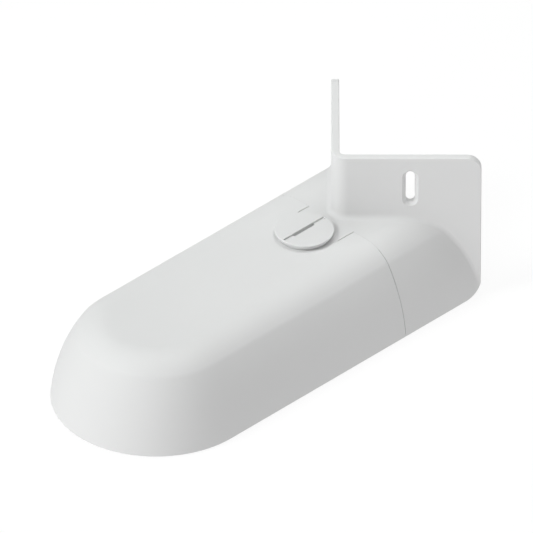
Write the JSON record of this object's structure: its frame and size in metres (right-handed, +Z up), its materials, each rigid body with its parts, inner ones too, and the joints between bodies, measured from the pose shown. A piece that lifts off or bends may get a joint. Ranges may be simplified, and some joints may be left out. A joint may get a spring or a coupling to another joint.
{
  "type": "wall battery unit",
  "caption": "Battery housing for an outside building corner: two wall plates, a long round-nosed shell that slides off its cell tray, and a quarter-turn coin lock.",
  "frame": {"origin": "the building corner's edge, where the wall-side faces of the two plates would meet, level with the housing's underside", "axes": "+X along the right wall plate, +Y along the left wall plate, +Z up; the housing points away from the building, towards -X -Y"},
  "size_m": [0.2146, 0.2146, 0.0824],
  "materials": {
    "housing_plastic": "white moulded ASA, fine even matt finish",
    "tray_plastic": "dark grey moulded ABS, matt",
    "rubber": "black EPDM",
    "steel": "zinc-plated steel",
    "contact_metal": "nickel-plated spring steel",
    "cell_metal": null,
    "cell_wrap": "shrunk film, plain blue with no print",
    "board_laminate": "green solder mask on glass laminate",
    "terminal_plastic": "green nylon",
    "fuse_glass": "clear glass tube",
    "capacitor_sleeve": "dark film sleeve",
    "chip_plastic": "black moulding compound",
    "lead_red": "red insulation",
    "lead_black": "black insulation"
  },
  "bodies": {
    "wall_bracket": {"corner_bracket": "housing_plastic", "battery_tray": "tray_plastic", "housing_seal": "rubber", "cable_grommet": "rubber", "tray_screws": "steel", "board_screws": "steel", "terminal_screws": "steel", "rear_negative_plate": "contact_metal", "rear_positive_plate": "contact_metal", "front_bridge_plate": "contact_metal", "rear_spring": "contact_metal", "front_spring": "contact_metal", "fuse_clips": "contact_metal", "battery_cell_1": "cell_metal", "battery_cell_2": "cell_metal", "battery_cell_3": "cell_metal", "battery_cell_4": "cell_metal", "cell_wrap_1": "cell_wrap", "cell_wrap_2": "cell_wrap", "cell_wrap_3": "cell_wrap", "cell_wrap_4": "cell_wrap", "output_board": "board_laminate", "terminal_block": "terminal_plastic", "fuse": "fuse_glass", "capacitor": "capacitor_sleeve", "control_chip": "chip_plastic", "positive_lead": "lead_red", "negative_lead": "lead_black"},
    "shell": {"front_shell": "housing_plastic"},
    "coin_lock": {"lock_knob": "housing_plastic", "lock_o_ring": "rubber", "lock_cam": "steel", "lock_cam_screw": "steel"}
  },
  "joints": [
    {"name": "shell_slide", "type": "slide", "parent": "wall_bracket", "child": "shell", "axis": [-0.7071, -0.7071, 0], "range_m": [0, 0.155]},
    {"name": "coin_lock_turn", "type": "hinge", "parent": "wall_bracket", "child": "coin_lock", "pos_m": [-0.01743, -0.01743, 0.0457], "axis": [0, 0, 1], "range_deg": [0, 90]}
  ]
}
